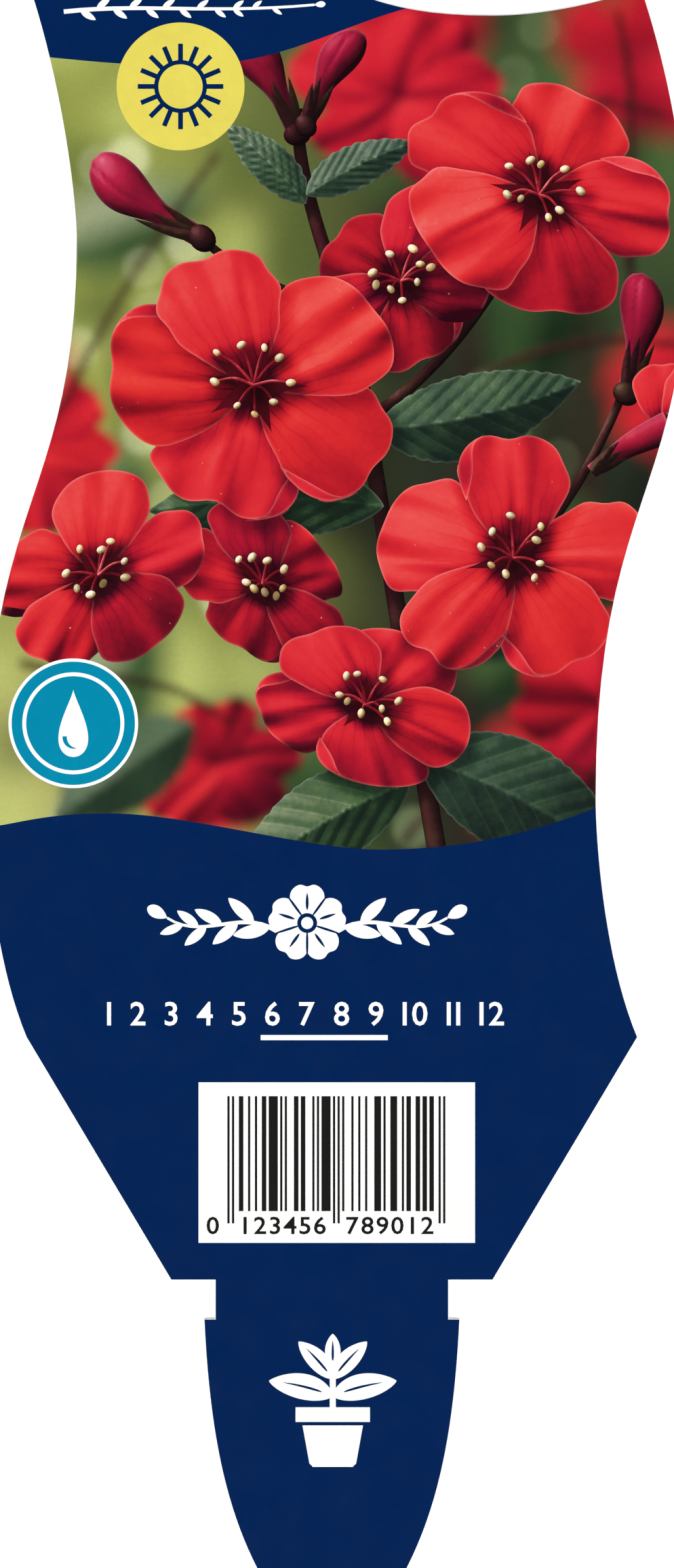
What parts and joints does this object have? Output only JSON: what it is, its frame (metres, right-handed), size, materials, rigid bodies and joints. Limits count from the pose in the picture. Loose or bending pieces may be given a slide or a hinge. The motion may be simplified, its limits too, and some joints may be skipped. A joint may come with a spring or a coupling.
{
  "type": "stick-in plant label",
  "caption": "Flat die-cut plastic plant label with a wavy flag-shaped printed panel, a notched neck and a tapered stake to push into a pot of compost.",
  "frame": {"origin": "middle of the bounding box's bottom: under the middle of the sheet, on the back face that it lies on", "axes": "+X across the label to the right of its print, +Y along it from the stake's nose to the wavy top edge, +Z out of the printed front face"},
  "size_m": [0.0812, 0.2, 0.0005],
  "materials": {
    "printed_plastic": "white polypropylene sheet with flat offset print, mostly navy, under a satin varnish"
  },
  "bodies": {
    "root": {"plant_label": "printed_plastic"}
  },
  "joints": []
}
